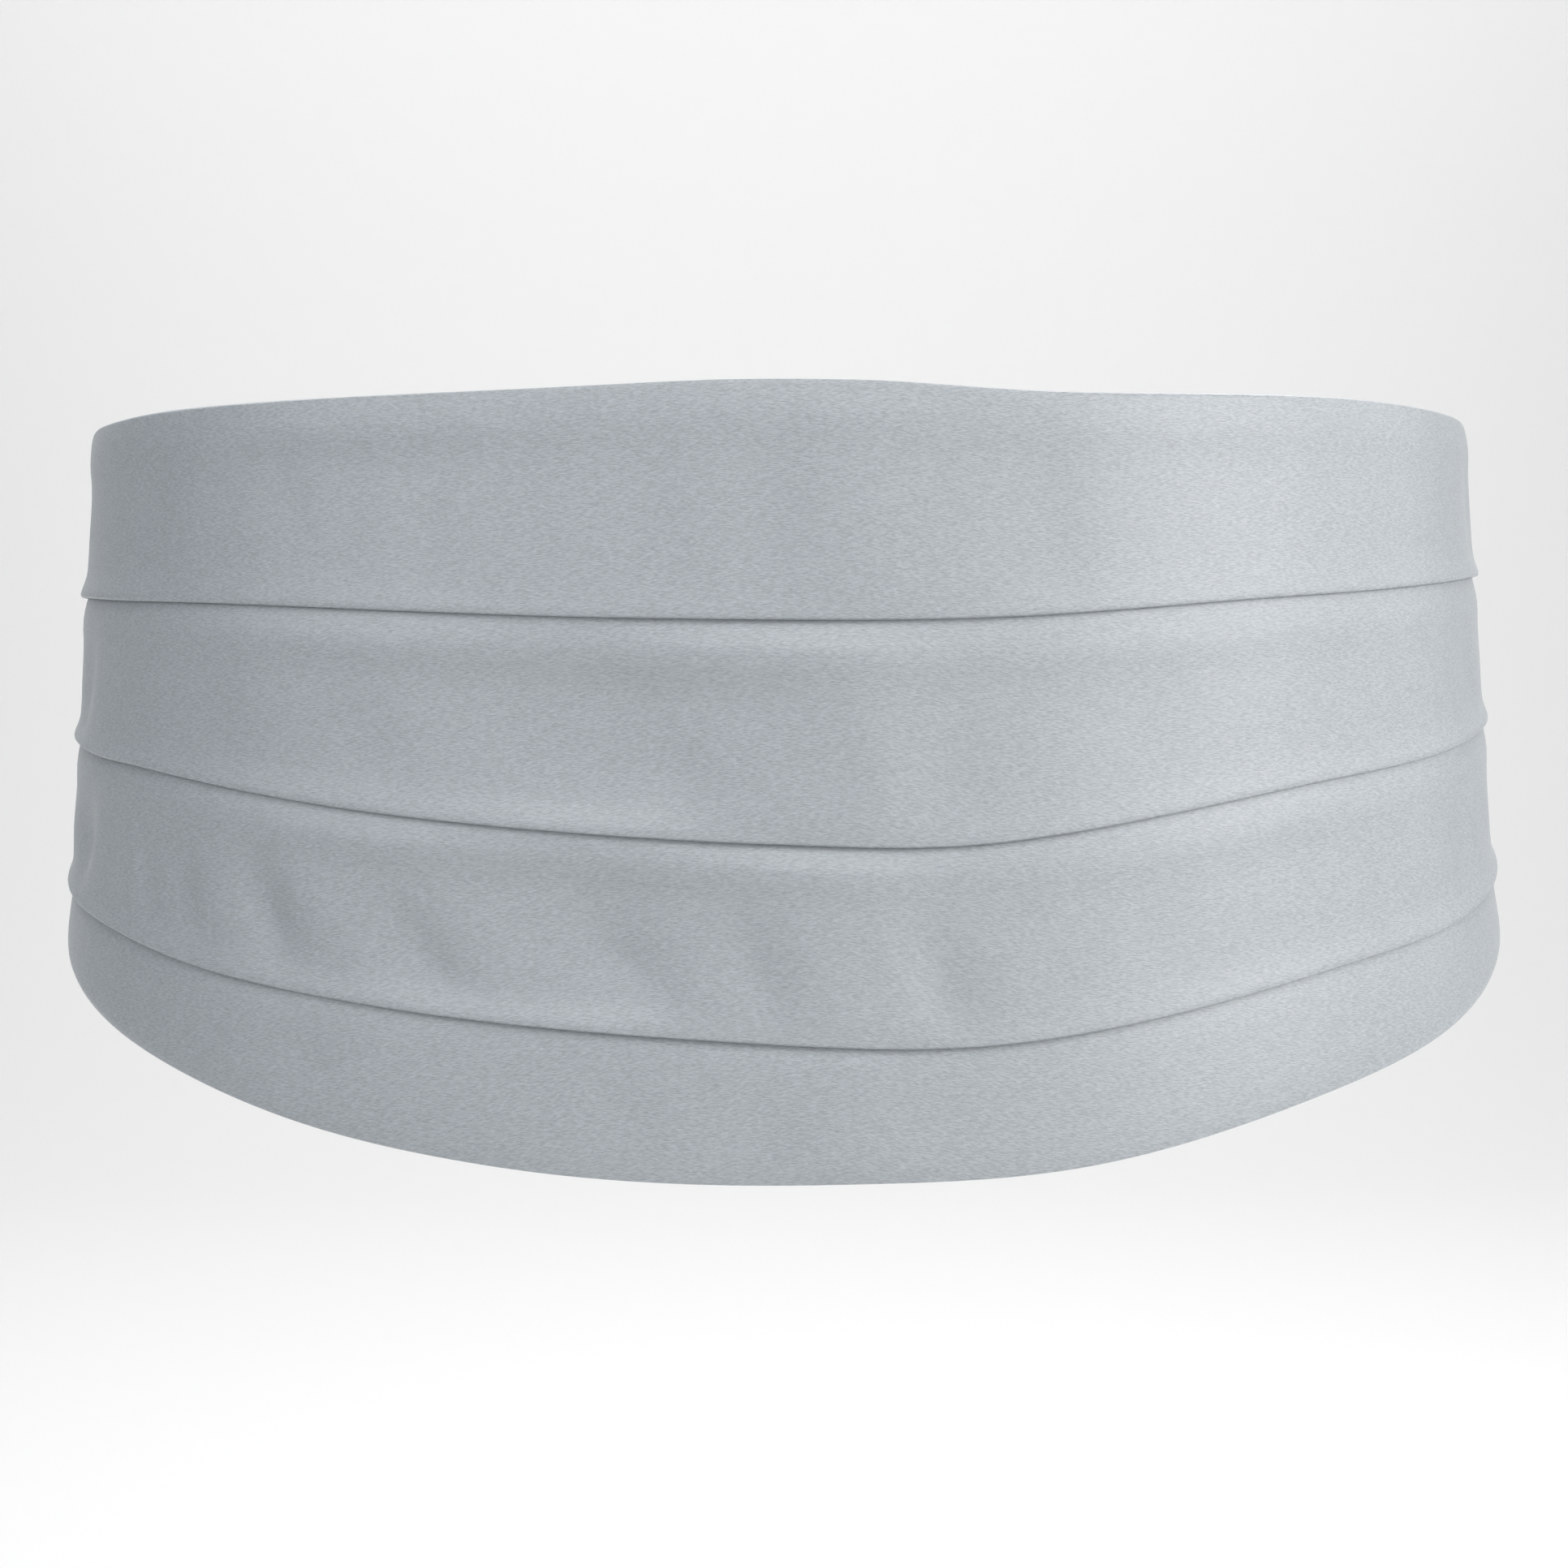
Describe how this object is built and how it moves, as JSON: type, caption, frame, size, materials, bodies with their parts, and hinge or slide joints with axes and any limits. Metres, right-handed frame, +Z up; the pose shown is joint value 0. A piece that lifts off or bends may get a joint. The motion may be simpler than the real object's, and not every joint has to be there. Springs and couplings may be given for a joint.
{
  "type": "cummerbund",
  "caption": "Pleated satin cummerbund in its worn shape: a hollow waist band with downward knife pleats, bound ends and back straps joined by a hook and eye.",
  "frame": {"origin": "middle of the waist ring, at the height of the back straps", "axes": "+Z up, +X to the wearer's left, -Y to the wearer's front"},
  "size_m": [0.3027, 0.2217, 0.1434],
  "materials": {
    "satin": "silver-grey satin, softly lustrous, with a fine crosswise grain",
    "strap_cloth": "plain grey woven strap",
    "metal": "plain nickel-coloured metal"
  },
  "bodies": {
    "root": {"pleated_panel": "satin", "end_binding_left": "satin", "end_binding_right": "satin", "strap_left": "strap_cloth", "strap_right": "strap_cloth", "closure_eye": "metal", "closure_hook": "metal"}
  },
  "joints": []
}
